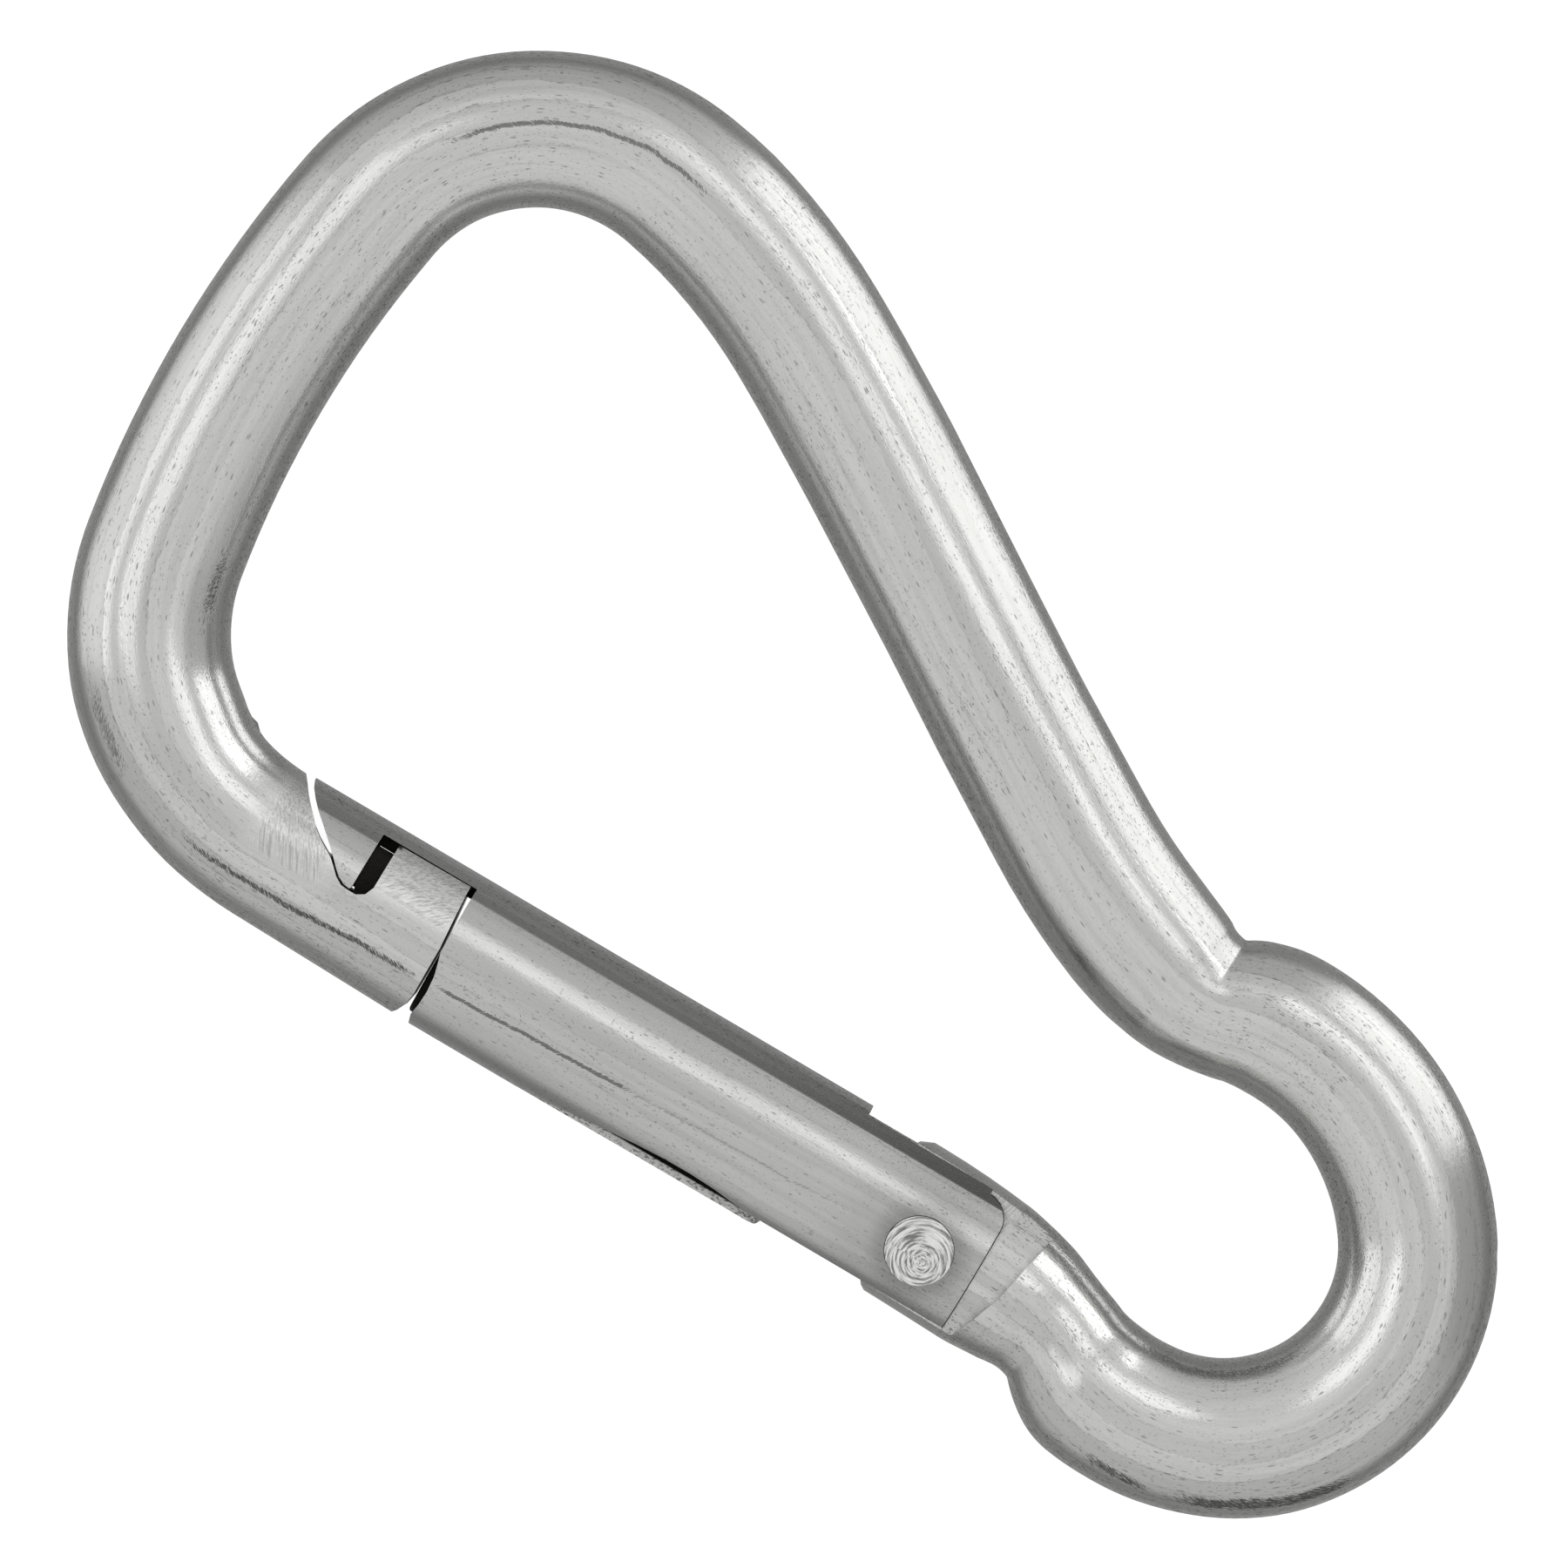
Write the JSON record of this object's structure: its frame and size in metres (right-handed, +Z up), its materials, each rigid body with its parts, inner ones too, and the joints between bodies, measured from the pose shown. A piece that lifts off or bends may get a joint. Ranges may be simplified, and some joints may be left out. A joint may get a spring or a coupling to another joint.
{
  "type": "asymmetric spring snap hook",
  "caption": "Asymmetric snap hook bent from round bar, with a sheet-metal gate that swings inward on a rivet and closes by a spring and thrust pin.",
  "frame": {"origin": "centre of the box's bottom face: the plane that the lower rivet head touches when the hook lies flat", "axes": "+Y from the small eye to the wide bow, along the longest extent; +X from the gate to the spine; +Z up through the bar's thickness"},
  "size_m": [0.0562, 0.1038, 0.0111],
  "materials": {
    "bar_zinc": "bright zinc plate over bent and forged round bar, lightly pitted",
    "gate_zinc": "bright zinc plate over folded sheet steel, with forming marks",
    "rivet_steel": "turned steel with concentric tool marks",
    "pin_steel": "turned steel, zinc plated",
    "spring_wire": "drawn spring wire"
  },
  "bodies": {
    "hook": {"hook_body": "bar_zinc"},
    "gate": {"gate": "gate_zinc", "hinge_rivet": "rivet_steel", "gate_spring": "spring_wire"},
    "plunger": {"thrust_pin": "pin_steel"}
  },
  "joints": [
    {"name": "gate_hinge", "type": "hinge", "parent": "hook", "child": "gate", "pos_m": [-0.00616, -0.0237, 0.00555], "axis": [0, 0, -1], "range_deg": [0, 35], "stiffness_Nm_per_rad": 0.45, "springref_deg": -17.19},
    {"name": "plunger_slide", "type": "slide", "parent": "gate", "child": "plunger", "axis": [-0.3665, 0.9304, 0], "range_m": [0, 0.0025], "deforming": ["gate_spring"]}
  ],
  "couplings": [
    {"joint": "plunger_slide", "follows": "gate_hinge", "m_per_rad": 0.0039}
  ]
}
